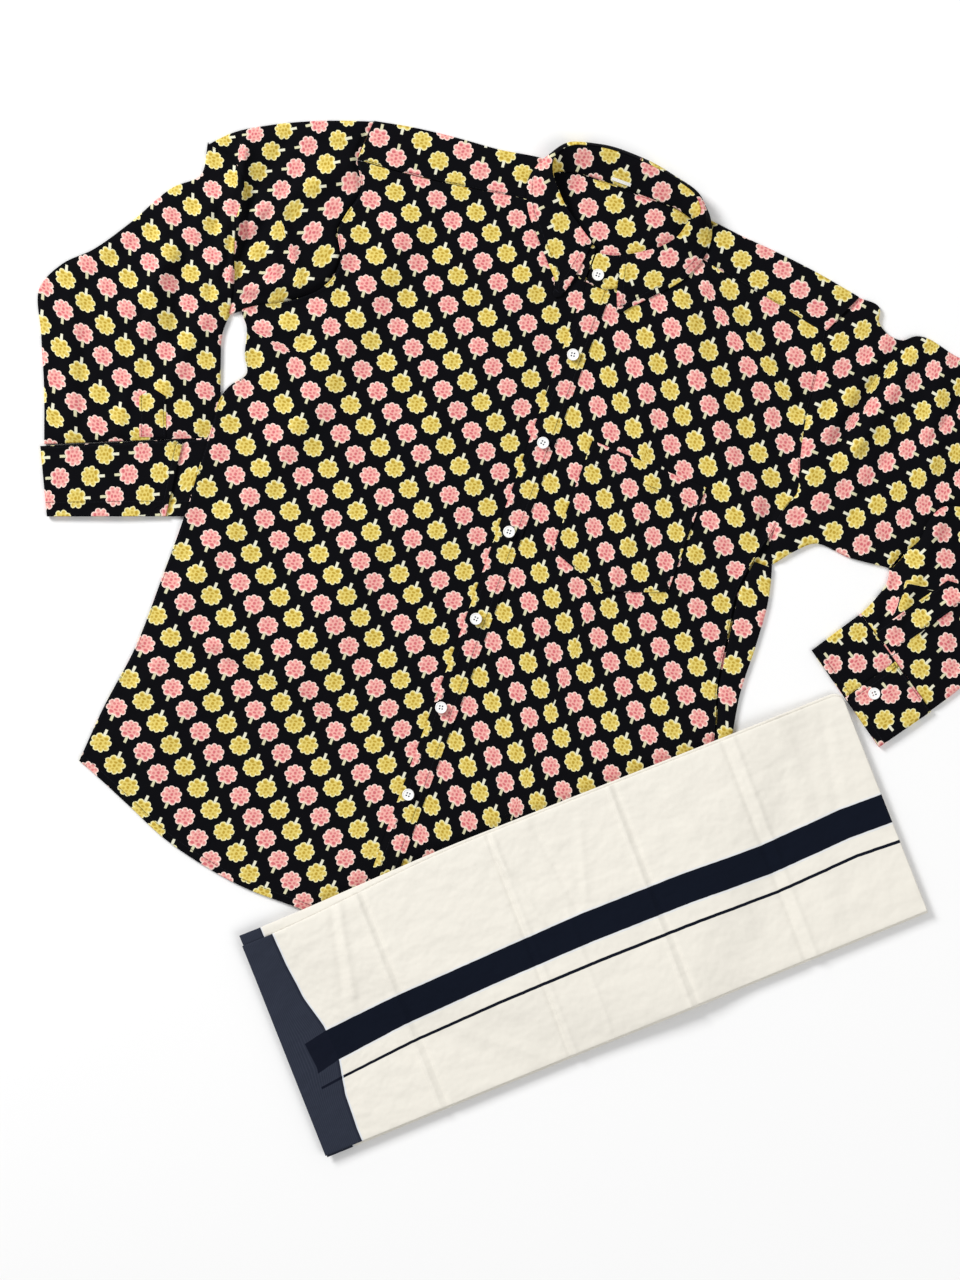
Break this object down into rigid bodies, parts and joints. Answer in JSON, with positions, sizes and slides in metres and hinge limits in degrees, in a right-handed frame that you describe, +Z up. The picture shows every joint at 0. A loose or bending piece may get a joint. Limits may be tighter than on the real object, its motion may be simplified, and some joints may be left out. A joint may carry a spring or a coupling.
{
  "type": "shirt and mundu set",
  "caption": "Long-sleeved flower-print cotton shirt laid flat with its sleeves bent, and a folded cream mundu with dark woven bands lying across its lower corner.",
  "frame": {"origin": "the middle of the set's bounding box, on its underside", "axes": "+Z is up, away from the surface that the cloth lies on. +Y is the top of the picture and +X its right. The shirt's front line runs from its collar at the top right to its hem at the lower left, 20.07 degrees off Y, and the mundu's long edges are turned 21.6 degrees from +X."},
  "size_m": [0.9668, 0.9694, 0.019],
  "materials": {
    "back": "plain-woven printed cotton, matt, pink and yellow flowers on near-black",
    "yoke": "plain-woven printed cotton, matt, pink and yellow flowers on near-black",
    "yoke_inside": "plain-woven printed cotton, matt, pink and yellow flowers on near-black",
    "front_left": "plain-woven printed cotton, matt, pink and yellow flowers on near-black",
    "front_right": "plain-woven printed cotton, matt, pink and yellow flowers on near-black",
    "placket": "plain-woven printed cotton, matt, pink and yellow flowers on near-black",
    "pocket": "plain-woven printed cotton, matt, pink and yellow flowers on near-black",
    "collar_stand": "plain-woven printed cotton, matt, pink and yellow flowers on near-black",
    "collar_leaf": "plain-woven printed cotton, matt, pink and yellow flowers on near-black",
    "neck_loop": "plain white woven tape, matt",
    "sleeve_left_upper": "plain-woven printed cotton, matt, pink and yellow flowers on near-black",
    "sleeve_left_lower": "plain-woven printed cotton, matt, pink and yellow flowers on near-black",
    "sleeve_right_upper": "plain-woven printed cotton, matt, pink and yellow flowers on near-black",
    "sleeve_right_lower": "plain-woven printed cotton, matt, pink and yellow flowers on near-black",
    "cuff_left": "plain-woven printed cotton, matt, pink and yellow flowers on near-black",
    "cuff_right": "plain-woven printed cotton, matt, pink and yellow flowers on near-black",
    "cuff_button": "moulded white plastic, smooth with a soft shine",
    "sleeve_placket_left": "plain-woven printed cotton, matt, pink and yellow flowers on near-black",
    "sleeve_placket_right": "plain-woven printed cotton, matt, pink and yellow flowers on near-black",
    "button_1": "moulded white plastic, smooth with a soft shine",
    "button_2": "moulded white plastic, smooth with a soft shine",
    "button_3": "moulded white plastic, smooth with a soft shine",
    "button_4": "moulded white plastic, smooth with a soft shine",
    "button_5": "moulded white plastic, smooth with a soft shine",
    "button_6": "moulded white plastic, smooth with a soft shine",
    "button_7": "moulded white plastic, smooth with a soft shine",
    "mundu_folds": "fine unbleached plain-woven cotton, matt, with dark woven bands",
    "mundu_second": "fine unbleached plain-woven cotton, matt, with dark woven bands",
    "mundu_top": "fine unbleached plain-woven cotton, matt, with dark woven bands"
  },
  "bodies": {
    "root": {"back": "back", "yoke": "yoke", "yoke_inside": "yoke_inside", "front_left": "front_left", "front_right": "front_right", "placket": "placket", "pocket": "pocket", "collar_stand": "collar_stand", "collar_leaf": "collar_leaf", "neck_loop": "neck_loop", "sleeve_left_upper": "sleeve_left_upper", "sleeve_left_lower": "sleeve_left_lower", "sleeve_right_upper": "sleeve_right_upper", "sleeve_right_lower": "sleeve_right_lower", "cuff_left": "cuff_left", "cuff_right": "cuff_right", "cuff_button": "cuff_button", "sleeve_placket_left": "sleeve_placket_left", "sleeve_placket_right": "sleeve_placket_right", "button_1": "button_1", "button_2": "button_2", "button_3": "button_3", "button_4": "button_4", "button_5": "button_5", "button_6": "button_6", "button_7": "button_7", "mundu_folds": "mundu_folds", "mundu_second": "mundu_second", "mundu_top": "mundu_top"}
  },
  "joints": []
}
